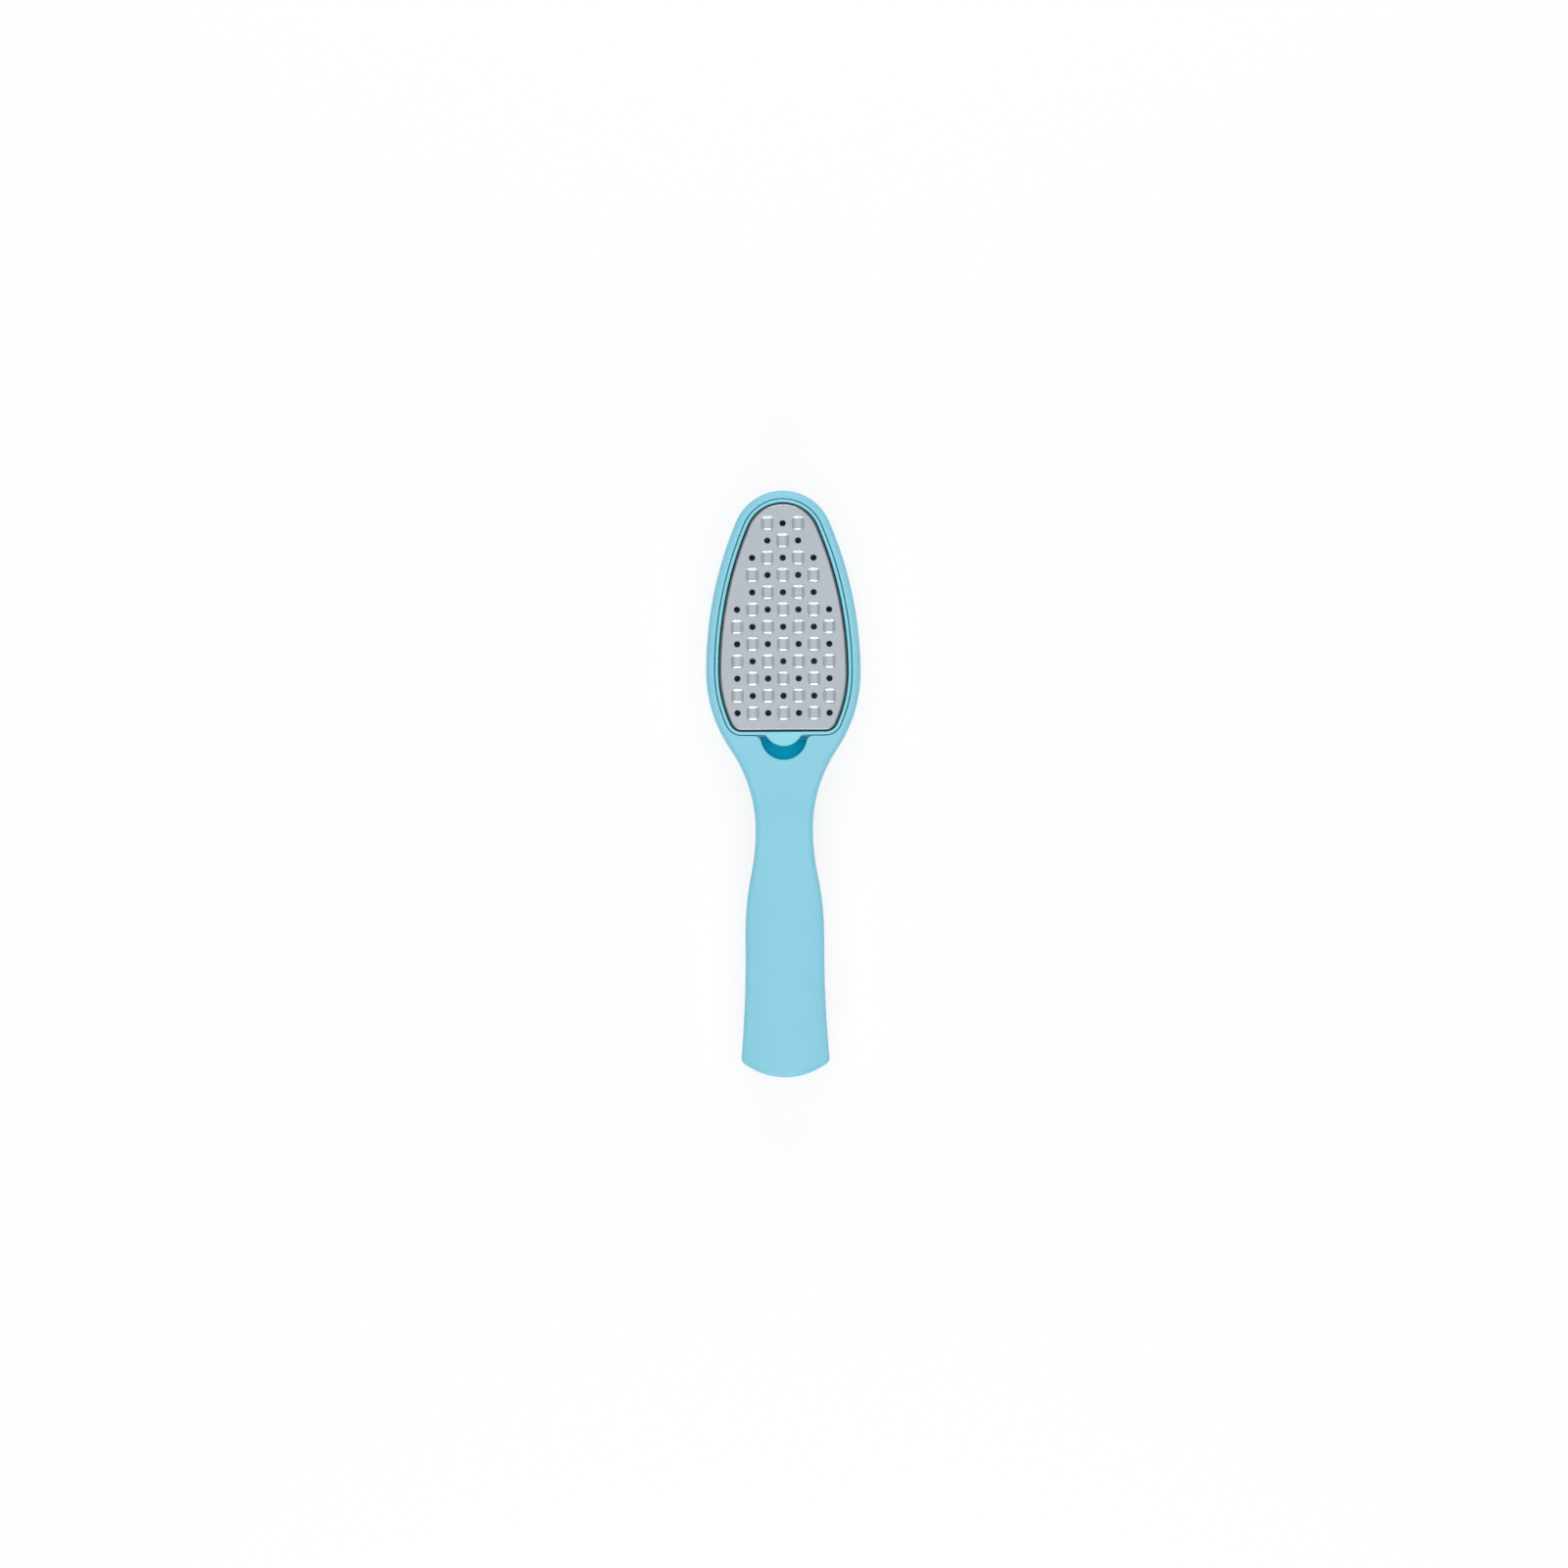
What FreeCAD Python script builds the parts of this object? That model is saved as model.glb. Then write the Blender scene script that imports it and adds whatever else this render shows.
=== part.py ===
import FreeCAD, Part
import math
import os
from FreeCAD import Vector

# Foot file with a lift-out blade cartridge, lying on its back, in millimetres.
# X is the width, Y runs along the handle with the head at +Y, Z points out of the blade.
# The origin lies under the middle of the file, on the surface that it rests on.

# Body outline, seen from the front
HEAD_WIDTH = 47.4
NECK_WIDTH = 17.6
GRIP_WIDTH = 24.2
BUTT_WIDTH = 27.3
TIP_RADIUS = 15.5
BUTT_END_RADIUS = 22.0
TIP_TO_WIDEST = 55.6
WIDEST_TO_NECK = 48.4
NECK_TO_GRIP = 32.0
GRIP_STRAIGHT = 6.0
FLARE_LENGTH = 33.25
SHOULDER_SHARE = 0.49
NECK_SHARE = 0.43

# Body depth, seen from the side
HEAD_DEPTH = 16.0
TIP_RISE = 3.4
NECK_DROP = 2.4
NECK_RISE = 1.2
GRIP_DROP = 0.6
GRIP_RISE = 1.0
FRONT_CROWN = 2.6
BACK_CROWN = 2.4
REST_AHEAD = 27.0
REST_BEHIND = 14.0
REST_CUT = 0.05
FRONT_EDGE = 1.9
BACK_EDGE = 4.5
BUTT_EDGE = 1.8

# How evenly the front and back bend from one depth to the next
FACE_STEPS = 2.4
TIP_STEPS = 2.4
REST_STEPS = 2.8
GRIP_EASE = 0.56

# Two shells and the joint between them
WALL = 1.8
SPLIT_Z = 9.2
SEAM_DEPTH = 0.25
SEAM_HEIGHT = 0.35
LIP_WALL = 0.9
LIP_HEIGHT = 1.2
LIP_ROOT = 1.6
LIP_GAP = 0.12
HOOK_WIDTH = 16.0
HOOK_REACH = 0.4
HOOK_HEIGHT = 0.5
HOOK_FROM_SPLIT = 0.4

# Screws and their bosses
SCREW_D = 2.6
SCREW_LENGTH = 8.0
SCREW_HEAD_D = 4.6
SCREW_HEAD_HEIGHT = 1.7
SCREW_HEAD_ROUND = 0.6
RECESS_WIDTH = 0.75
RECESS_LENGTH = 2.6
RECESS_DEPTH = 1.0
SCREW_SEAT_Z = 4.6
SCREW_GAP = 0.15
THREAD_GAP = 0.02
BOSS_WALL = 1.4
PILOT_SPARE = 0.3
NECK_SCREW_FROM_NECK = 8.0
GRIP_SCREW_FROM_END = 23.0

# Blade pocket in the head
BEZEL_WIDTH = 2.5
POCKET_GAP = 0.25
POCKET_BELOW_WIDEST = 19.6
POCKET_CORNER = 5.2
LEAST_CORNER = 0.4
SEAT_WALL = 1.4
SEAT_GAP = 0.15
LEDGE_WIDTH = 1.6
LEDGE_THICK = 1.2
SCOOP_WIDTH = 14.2
SCOOP_REACH = 7.4
SCOOP_DEPTH = 7.5
SCOOP_WALL = 1.5
SCOOP_ROUND = 1.2
SCOOP_CORNER = 2.4
MOUTH_ROUND = 0.2

# Blade frame, with its finger tab and tip tongue
FRAME_DEPTH = 2.6
FRAME_WALL = 0.6
RIM_WIDTH = 1.0
RIM_THICK = 1.1
RIM_ROUND = 0.5
TAB_WIDTH = 11.1
TAB_REACH = 3.45
TAB_THICK = 1.6
TAB_CORNER = 0.8
TONGUE_WIDTH = 10.0
TONGUE_REACH = 1.0
TONGUE_THICK = 1.1
TONGUE_GAP = 0.2
TONGUE_DIP = 0.4

# Stamped blade plate
SHEET = 0.45
PLATE_PROUD = 0.5
PLATE_GAP = 0.4
PLATE_ROUND = 0.8
FIT_GAP = 0.05
REBATE_GAP = 0.1
PITCH_X = 4.7
PITCH_Y = 5.28
FIRST_ROW_FROM_TIP = 6.05
TOOTH_MARGIN = 3.0
HOLE_D = 1.7
BRIDGE_LENGTH = 5.0
BRIDGE_TOP = 2.2
BRIDGE_WIDTH = 3.4
BRIDGE_RISE = 0.6
SLIT = 0.3

# Ring under the plate
RING_WIDTH = 3.1
RIB_THICK = 0.9
RIB_EVERY = 3

# Room that cutting solids get past the faces they cut
MARGIN = 5.0

# Stations along the handle, with the origin halfway
HALF_HEAD = HEAD_WIDTH / 2
HALF_NECK = NECK_WIDTH / 2
HALF_GRIP = GRIP_WIDTH / 2
HALF_BUTT = BUTT_WIDTH / 2
BUTT_BULGE = BUTT_END_RADIUS - math.sqrt(BUTT_END_RADIUS ** 2 - HALF_BUTT ** 2)
LENGTH = TIP_TO_WIDEST + WIDEST_TO_NECK + NECK_TO_GRIP + GRIP_STRAIGHT + FLARE_LENGTH + BUTT_BULGE
Y_TIP = LENGTH / 2
Y_WIDEST = Y_TIP - TIP_TO_WIDEST
Y_NECK = Y_WIDEST - WIDEST_TO_NECK
Y_GRIP = Y_NECK - NECK_TO_GRIP
Y_FLARE = Y_GRIP - GRIP_STRAIGHT
Y_CORNER = Y_FLARE - FLARE_LENGTH
Y_END = -Y_TIP

# Insets of the nested outlines in the head, each from the body's edge
FRAME_INSET = BEZEL_WIDTH + POCKET_GAP
REBATE_INSET = FRAME_INSET + FRAME_WALL
WINDOW_INSET = FRAME_INSET + RIM_WIDTH
PLATE_INSET = WINDOW_INSET + PLATE_GAP
FLANGE_INSET = REBATE_INSET + REBATE_GAP
RING_INSET = FLANGE_INSET + RING_WIDTH
LEDGE_INSET = BEZEL_WIDTH + LEDGE_WIDTH
SEAT_INSET = BEZEL_WIDTH - SEAT_WALL
POCKET_Y = Y_WIDEST - POCKET_BELOW_WIDEST
FRAME_Y = POCKET_Y + POCKET_GAP
SCOOP_Y = POCKET_Y - SCOOP_REACH

# Levels in the head
FRAME_Z = HEAD_DEPTH - FRAME_DEPTH
LEDGE_Z = FRAME_Z - SEAT_GAP
SEAT_Z = LEDGE_Z - LEDGE_THICK
PLATE_Z = HEAD_DEPTH + PLATE_PROUD
FLANGE_TOP_Z = HEAD_DEPTH - RIM_THICK - FIT_GAP
FLANGE_Z = FLANGE_TOP_Z - SHEET
SCOOP_Z = HEAD_DEPTH - SCOOP_DEPTH
SCREWS_Y = (Y_NECK + NECK_SCREW_FROM_NECK, Y_END + GRIP_SCREW_FROM_END)

# Roundings that have to leave some flat on the bezel and on the frame's rim
BEZEL_ROUND = min(FRONT_EDGE, BEZEL_WIDTH - MOUTH_ROUND - FIT_GAP)
FRAME_ROUND = min(RIM_ROUND, RIM_WIDTH / 2 - FIT_GAP)


def s_curve_radius(run, shift):
    """Both radii of an S-curve together, or the one of an arc, that goes so far along and across."""
    return (run ** 2 + shift ** 2) / (2 * shift)


# Circles that make the body's outline, right half
TIP_CENTRE = Vector(0, Y_TIP - TIP_RADIUS, 0)
SIDE_RUN = TIP_TO_WIDEST - TIP_RADIUS
SIDE_RADIUS = (HALF_HEAD ** 2 + SIDE_RUN ** 2 - TIP_RADIUS ** 2) / (2 * (HALF_HEAD - TIP_RADIUS))
SIDE_CENTRE = Vector(HALF_HEAD - SIDE_RADIUS, Y_WIDEST, 0)
UPPER_RADII = s_curve_radius(WIDEST_TO_NECK, HALF_HEAD - HALF_NECK)
SHOULDER_RADIUS = SHOULDER_SHARE * UPPER_RADII
SHOULDER_CENTRE = Vector(HALF_HEAD - SHOULDER_RADIUS, Y_WIDEST, 0)
NECK_TOP_RADIUS = UPPER_RADII - SHOULDER_RADIUS
NECK_TOP_CENTRE = Vector(HALF_NECK + NECK_TOP_RADIUS, Y_NECK, 0)
LOWER_RADII = s_curve_radius(NECK_TO_GRIP, HALF_GRIP - HALF_NECK)
NECK_LOW_RADIUS = NECK_SHARE * LOWER_RADII
NECK_LOW_CENTRE = Vector(HALF_NECK + NECK_LOW_RADIUS, Y_NECK, 0)
GRIP_RADIUS = LOWER_RADII - NECK_LOW_RADIUS
GRIP_CENTRE = Vector(HALF_GRIP - GRIP_RADIUS, Y_GRIP, 0)
FLARE_RADIUS = s_curve_radius(FLARE_LENGTH, HALF_BUTT - HALF_GRIP)
FLARE_CENTRE = Vector(HALF_GRIP + FLARE_RADIUS, Y_FLARE, 0)

RIGHT = Vector(1, 0, 0)
LEFT = Vector(-1, 0, 0)
UP = Vector(0, 1, 0)


def toward(start, end):
    """Unit direction from one point to another."""
    way = end - start
    return way / way.Length


def arc(centre, radius, first, last):
    """Arc about a centre, from one unit direction to another, the short way round."""
    middle = first + last
    middle = middle / middle.Length
    points = [centre + way * radius for way in (first, middle, last)]
    return Part.Arc(*points).toShape()


def line(start, end):
    return Part.LineSegment(start, end).toShape()


def mirrored(edges):
    return [edge.mirror(Vector(0, 0, 0), RIGHT) for edge in edges]


def closed_face(edges):
    return Part.Face(Part.Wire(Part.__sortEdges__(edges)))


def prism(face, low, high):
    """Solid on a flat face in the XY plane, between two levels."""
    solid = face.extrude(Vector(0, 0, high - low))
    solid.translate(Vector(0, 0, low))
    return solid


def block(x_low, x_high, y_low, y_high, z_low, z_high):
    size = (x_high - x_low, y_high - y_low, z_high - z_low)
    return Part.makeBox(*size, Vector(x_low, y_low, z_low))


def rod(diameter, x, y, low, high):
    return Part.makeCylinder(diameter / 2, high - low, Vector(x, y, low))


def shoulder_way():
    return toward(SHOULDER_CENTRE, NECK_TOP_CENTRE)


def side_way():
    return toward(SIDE_CENTRE, TIP_CENTRE)


def body_face(inset):
    """Outline of the body moved inwards by `inset`, its sides run on past the butt.

    The flare's radius is negative where the butt is narrower than the grip, and its ways turn with it.
    """
    grip_way = toward(GRIP_CENTRE, NECK_LOW_CENTRE)
    butt_way = (Vector(HALF_BUTT, Y_CORNER, 0) - FLARE_CENTRE) / FLARE_RADIUS
    grip_x = HALF_GRIP - inset
    corner = FLARE_CENTRE + butt_way * (FLARE_RADIUS + inset)
    past = corner + Vector(-butt_way.y, butt_way.x, 0) * (BUTT_BULGE + MARGIN)
    right = [
        arc(TIP_CENTRE, TIP_RADIUS - inset, UP, side_way()),
        arc(SIDE_CENTRE, SIDE_RADIUS - inset, side_way(), RIGHT),
        arc(SHOULDER_CENTRE, SHOULDER_RADIUS - inset, RIGHT, shoulder_way()),
        arc(NECK_TOP_CENTRE, NECK_TOP_RADIUS + inset, -shoulder_way(), LEFT),
        arc(NECK_LOW_CENTRE, NECK_LOW_RADIUS + inset, LEFT, -grip_way),
        arc(GRIP_CENTRE, GRIP_RADIUS - inset, grip_way, RIGHT),
        line(Vector(grip_x, Y_GRIP, 0), Vector(grip_x, Y_FLARE, 0)),
        arc(FLARE_CENTRE, FLARE_RADIUS + inset, LEFT, butt_way),
        line(corner, past),
    ]
    return closed_face(right + mirrored(right) + [line(past, Vector(-past.x, past.y, 0))])


def round_butt(solid, inset):
    """Cuts the bulging end of the handle, moved inwards by `inset`."""
    centre_y = Y_END + BUTT_END_RADIUS
    end = block(-HEAD_WIDTH, HEAD_WIDTH, Y_END - LENGTH, centre_y, -LENGTH, LENGTH)
    return solid.cut(end.cut(rod(2 * (BUTT_END_RADIUS - inset), 0, centre_y, -LENGTH, LENGTH)))


def outline_solid(inset, low, high):
    """Upright solid on the body's whole outline, between two levels."""
    return round_butt(prism(body_face(inset), low, high), inset)


def egg_face(inset):
    """Outline of the blade pocket and of all that nests in it, moved in from the body's edge."""
    base_y = POCKET_Y + inset - BEZEL_WIDTH
    corner = max(POCKET_CORNER - inset + BEZEL_WIDTH, LEAST_CORNER)
    reach = SHOULDER_RADIUS - inset - corner
    rise = Y_WIDEST - base_y - corner
    corner_centre = Vector(SHOULDER_CENTRE.x + math.sqrt(reach ** 2 - rise ** 2), base_y + corner, 0)
    corner_way = toward(SHOULDER_CENTRE, corner_centre)
    right = [
        arc(TIP_CENTRE, TIP_RADIUS - inset, UP, side_way()),
        arc(SIDE_CENTRE, SIDE_RADIUS - inset, side_way(), RIGHT),
        arc(SHOULDER_CENTRE, SHOULDER_RADIUS - inset, RIGHT, corner_way),
        arc(corner_centre, corner, corner_way, -UP),
    ]
    foot = corner_centre - UP * corner
    base = line(foot, Vector(-foot.x, foot.y, 0))
    return closed_face(right + mirrored(right) + [base])


def egg(inset, low, high):
    return prism(egg_face(inset), low, high)


def half_width(y, inset):
    """Half the width of the pocket outline at a place along the handle."""
    tip_join = TIP_CENTRE + side_way() * (TIP_RADIUS - inset)
    if y > tip_join.y:
        centre, radius = TIP_CENTRE, TIP_RADIUS - inset
    elif y > Y_WIDEST:
        centre, radius = SIDE_CENTRE, SIDE_RADIUS - inset
    else:
        centre, radius = SHOULDER_CENTRE, SHOULDER_RADIUS - inset
    square = radius ** 2 - (y - centre.y) ** 2
    return centre.x + math.sqrt(square) if square > 0 else 0.0


def crowned_face(rows):
    """Smooth face drawn toward rows of (y, level, crown); a crown bends its edges down."""
    reach = HALF_HEAD + MARGIN
    spread = (reach / HALF_GRIP) ** 2
    poles = []
    for y, level, crown in rows:
        bend = crown * spread
        poles.append([Vector(-reach, y, level - bend), Vector(0, y, level + bend),
                      Vector(reach, y, level - bend)])
    degree = 3
    spans = len(rows) - degree
    knots = [float(knot) for knot in range(spans + 1)]
    mults = [degree + 1] + [1] * (spans - 1) + [degree + 1]
    surface = Part.BSplineSurface()
    surface.buildFromPolesMultsKnots(poles, mults, [3, 3], knots, [0.0, 1.0], False, False, degree, 2)
    return surface.toShape()


def front_rows(inset):
    """Front of the body: flat over the head and scoop, dipped at the neck, crowned at the grip."""
    flat_end = SCOOP_Y - SCOOP_WALL
    step = (flat_end - Y_NECK) / FACE_STEPS
    top = HEAD_DEPTH - inset
    grip = top - GRIP_DROP
    rows = [(Y_TIP + MARGIN, top, 0), (Y_WIDEST, top, 0)]
    rows += [(flat_end - step * k, top, 0) for k in (-1, 0, 1)]
    rows += [(flat_end - step * k, top - NECK_DROP, FRONT_CROWN / 2) for k in (2, 3)]
    rows += [(y, grip, FRONT_CROWN) for y in grip_rows()]
    return rows


def back_rows(inset):
    """Back of the body: swept up at the tip, level where it is cut flat to rest, raised at the neck."""
    rest = inset - REST_CUT
    rest_start = Y_WIDEST + REST_AHEAD
    rest_end = Y_WIDEST - REST_BEHIND
    tip_step = (Y_TIP - rest_start) / TIP_STEPS
    neck_step = (rest_end - Y_NECK) / REST_STEPS
    rows = [(Y_TIP + MARGIN, TIP_RISE + inset, 0), (rest_start + tip_step * 2, TIP_RISE / 3 + inset, 0)]
    rows += [(rest_start + tip_step * k, rest, 0) for k in (1, 0, -1)]
    rows += [(rest_end + neck_step * k, rest, 0) for k in (1, 0, -1)]
    rows += [(rest_end - neck_step * k, NECK_RISE + inset, -BACK_CROWN / 2) for k in (2, 3)]
    *grip, corner, past = grip_rows()
    rows += [(y, GRIP_RISE + inset, -BACK_CROWN) for y in grip]
    rows += [(y, inset, -BACK_CROWN) for y in (corner, past)]
    return rows


def grip_rows():
    """Places along the grip that shape its front and back, the last one past the end."""
    return [Y_NECK - NECK_TO_GRIP * GRIP_EASE, Y_GRIP, (Y_FLARE + Y_CORNER) / 2, Y_CORNER, Y_END - 2 * MARGIN]


def long_edges(solid, up):
    """Edges where the side walls meet the front (up = 1) or the back (up = -1)."""
    found = []
    for face in solid.Faces:
        low_u, high_u, low_v, high_v = face.ParameterRange
        normal = face.normalAt((low_u + high_u) / 2, (low_v + high_v) / 2)
        if normal.z * up > 0.5:
            found += [edge for edge in face.Edges if edge.BoundBox.YLength > FIT_GAP]
    return found


def body_solid(inset):
    """The closed body, or with an inset the hollow inside it."""
    depth = 4 * HEAD_DEPTH
    solid = prism(body_face(inset), -MARGIN, HEAD_DEPTH + MARGIN)
    solid = solid.common(crowned_face(front_rows(inset)).extrude(Vector(0, 0, -depth)))
    solid = solid.common(crowned_face(back_rows(inset)).extrude(Vector(0, 0, depth))).Solids[0]
    solid = solid.makeFillet(BACK_EDGE - inset, long_edges(solid, -1))
    if inset:
        return round_butt(solid, inset).Solids[0]
    solid = solid.makeFillet(BEZEL_ROUND, long_edges(solid, 1))
    solid = round_butt(solid, inset).Solids[0]
    end = min(solid.Faces, key=lambda face: face.CenterOfMass.y)
    solid = solid.makeFillet(BUTT_EDGE, end.Edges)
    below = block(-HALF_HEAD, HALF_HEAD, Y_NECK, Y_TIP, -MARGIN, 0)
    return solid.cut(below).Solids[0]


def half_space(above):
    """Everything above the split between the shells, or below it."""
    reach = LENGTH + MARGIN
    low, high = (SPLIT_Z, HEAD_DEPTH + MARGIN) if above else (-MARGIN, SPLIT_Z)
    return block(-reach, reach, -reach, reach, low, high)


def bulkhead(core, low, high):
    """Wall across the body that keeps shavings out of the handle."""
    wall = block(-HALF_HEAD, HALF_HEAD, POCKET_Y - SEAT_WALL, POCKET_Y, low, high)
    return wall.common(core)


def bosses(core, diameter, low, high):
    return [rod(diameter, 0, y, low, high).common(core) for y in SCREWS_Y]


def scoop_solid(grow, limit_y, low, high):
    """Round finger scoop, grown by a wall or not, cut off at a line across the handle.

    The disc is turned so that the line where its round face closes lies in the part that is cut off.
    """
    radius = s_curve_radius(SCOOP_WIDTH / 2, SCOOP_REACH)
    centre_y = SCOOP_Y + radius
    disc = rod(2 * (radius + grow), 0, centre_y, low, high)
    disc.rotate(Vector(0, centre_y, 0), Vector(0, 0, 1), 90)
    return disc.cut(block(-HEAD_WIDTH, HEAD_WIDTH, limit_y, Y_TIP, low, high))


def scoop_cut():
    """Deep part of the scoop, with a rounded floor."""
    deep = scoop_solid(0, POCKET_Y - SEAT_WALL, SCOOP_Z, HEAD_DEPTH + MARGIN)
    floor = [edge for edge in deep.Edges if edge.BoundBox.ZMax < SCOOP_Z + FIT_GAP]
    return deep.makeFillet(SCOOP_ROUND, floor)


def upright_edges(solid, x, y):
    """Upright edges at a place and at its mirror image."""
    found = []
    for edge in solid.Edges:
        box, middle = edge.BoundBox, edge.CenterOfMass
        if max(box.XLength, box.YLength, abs(abs(middle.x) - x), abs(middle.y - y)) < FIT_GAP:
            found.append(edge)
    return found


def pocket_cut():
    """Blade pocket with the upper part of the scoop, which opens into it round two corners."""
    high = HEAD_DEPTH + MARGIN
    pocket = egg(BEZEL_WIDTH, LEDGE_Z, high)
    pocket = pocket.fuse(scoop_solid(0, POCKET_Y + POCKET_GAP, LEDGE_Z, high)).removeSplitter().Solids[0]
    return pocket.makeFillet(SCOOP_CORNER, upright_edges(pocket, SCOOP_WIDTH / 2, POCKET_Y))


def tongue(inset, width, low, high):
    """Strip along the head's tip, out to an outline, for the tongue and its slot."""
    strip = block(-width / 2, width / 2, TIP_CENTRE.y + TIP_RADIUS / 2, Y_TIP, low, high)
    return egg(inset, low, high).common(strip)


def seam():
    """Narrow groove that runs round the body above the split."""
    low, high = SPLIT_Z, SPLIT_Z + SEAM_HEIGHT
    whole = block(-HEAD_WIDTH, HEAD_WIDTH, Y_END - MARGIN, Y_TIP + MARGIN, low, high)
    return whole.cut(outline_solid(SEAM_DEPTH, low, high))


def lip_ring(outside, inside, low, high):
    return outline_solid(outside, low, high).cut(outline_solid(inside, low, high))


def hook(outside, spare):
    """Bead on the lip at the tip, or with some spare room the groove that takes it."""
    low = SPLIT_Z + HOOK_FROM_SPLIT - spare
    high = SPLIT_Z + HOOK_FROM_SPLIT + HOOK_HEIGHT + spare
    ring = lip_ring(outside, WALL + LIP_GAP + LIP_WALL / 2, low, high)
    half = HOOK_WIDTH / 2 + spare
    return ring.common(block(-half, half, TIP_CENTRE.y, Y_TIP, low, high))


def is_upright(face):
    low_u, high_u, low_v, high_v = face.ParameterRange
    return abs(face.normalAt((low_u + high_u) / 2, (low_v + high_v) / 2).z) < FIT_GAP


def mouth_edges(shell):
    """Edges round the top of the pocket and the scoop, where an upright wall meets the bezel."""
    found = []
    for edge in shell.Edges:
        if edge.BoundBox.ZMin > HEAD_DEPTH - FIT_GAP:
            if any(is_upright(face) for face in shell.ancestorsOfType(edge, Part.Face)):
                found.append(edge)
    return found


def front_shell(body, core, hollow):
    """Front half: bezel, seat for the blade frame, scoop, and bosses that the screws bite into."""
    shell = body.cut(hollow).common(half_space(True))
    seat = egg(SEAT_INSET, SEAT_Z, HEAD_DEPTH).common(core)
    scoop_walls = scoop_solid(SCOOP_WALL, POCKET_Y, SCOOP_Z - SCOOP_WALL, HEAD_DEPTH).common(core)
    added = [seat, scoop_walls, bulkhead(core, SPLIT_Z, LEDGE_Z)]
    added += bosses(core, SCREW_D + 2 * BOSS_WALL, SPLIT_Z, HEAD_DEPTH)
    shell = shell.fuse(added)
    cuts = [pocket_cut(), scoop_cut(), egg(LEDGE_INSET, SPLIT_Z, HEAD_DEPTH)]
    slot_inset = FRAME_INSET - TONGUE_REACH - TONGUE_GAP
    slot_top = FRAME_Z + TONGUE_THICK + TONGUE_GAP
    cuts.append(tongue(slot_inset, TONGUE_WIDTH + 2 * TONGUE_GAP, LEDGE_Z - TONGUE_DIP, slot_top))
    pilot_end = SCREW_SEAT_Z + SCREW_LENGTH + PILOT_SPARE
    cuts += [rod(SCREW_D + 2 * THREAD_GAP, 0, y, SPLIT_Z, pilot_end) for y in SCREWS_Y]
    cuts += [seam(), hook(WALL - HOOK_REACH - LIP_GAP, LIP_GAP)]
    shell = shell.cut(cuts).Solids[0]
    return shell.makeFillet(MOUTH_ROUND, mouth_edges(shell))


def back_shell(body, core, hollow):
    """Back half: bowl of the head, back of the grip, lip that lines the halves up, and room for the scoop."""
    shell = body.cut(hollow).common(half_space(False))
    added = [bulkhead(core, 0, SPLIT_Z)]
    added += bosses(core, SCREW_HEAD_D + 2 * (SCREW_GAP + BOSS_WALL), 0, SPLIT_Z)
    inside = WALL + LIP_GAP + LIP_WALL
    added.append(lip_ring(WALL / 2, inside, SPLIT_Z - LIP_ROOT, SPLIT_Z))
    gap_low = POCKET_Y - SEAT_WALL - LIP_GAP
    lip_break = block(-HALF_HEAD, HALF_HEAD, gap_low, POCKET_Y + LIP_GAP, SPLIT_Z, HEAD_DEPTH)
    added.append(lip_ring(WALL + LIP_GAP, inside, SPLIT_Z, SPLIT_Z + LIP_HEIGHT).cut(lip_break))
    added.append(hook(WALL - HOOK_REACH, 0))
    shell = shell.fuse(added)
    scoop_low = SCOOP_Z - SCOOP_WALL - LIP_GAP
    cuts = [scoop_solid(SCOOP_WALL + LIP_GAP, POCKET_Y + LIP_GAP, scoop_low, HEAD_DEPTH)]
    for y in SCREWS_Y:
        cuts.append(rod(SCREW_HEAD_D + 2 * SCREW_GAP, 0, y, -MARGIN, SCREW_SEAT_Z))
        cuts.append(rod(SCREW_D + 2 * SCREW_GAP, 0, y, -MARGIN, SPLIT_Z + MARGIN))
    return shell.cut(cuts).Solids[0]


def shell_screw(y):
    """Pan-head screw with a cross recess, driven in from the back."""
    head = rod(SCREW_HEAD_D, 0, y, SCREW_SEAT_Z - SCREW_HEAD_HEIGHT, SCREW_SEAT_Z)
    rim = [edge for edge in head.Edges if edge.BoundBox.ZMax < SCREW_SEAT_Z - SCREW_HEAD_HEIGHT / 2]
    head = head.makeFillet(SCREW_HEAD_ROUND, rim)
    shank = rod(SCREW_D, 0, y, SCREW_SEAT_Z, SCREW_SEAT_Z + SCREW_LENGTH)
    low = SCREW_SEAT_Z - SCREW_HEAD_HEIGHT
    long, short = RECESS_LENGTH / 2, RECESS_WIDTH / 2
    slots = [block(-long, long, y - short, y + short, low, low + RECESS_DEPTH),
             block(-short, short, y - long, y + long, low, low + RECESS_DEPTH)]
    return head.fuse(shank).cut(slots).Solids[0]


def finger_tab():
    """Round-ended tab that hangs from the frame into the scoop."""
    radius = s_curve_radius(TAB_WIDTH / 2, TAB_REACH)
    disc = rod(2 * radius, 0, FRAME_Y - TAB_REACH + radius, HEAD_DEPTH - TAB_THICK, HEAD_DEPTH)
    room = block(-TAB_WIDTH, TAB_WIDTH, FRAME_Y - TAB_WIDTH, FRAME_Y + FRAME_WALL, 0, HEAD_DEPTH)
    return disc.common(room)


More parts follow.
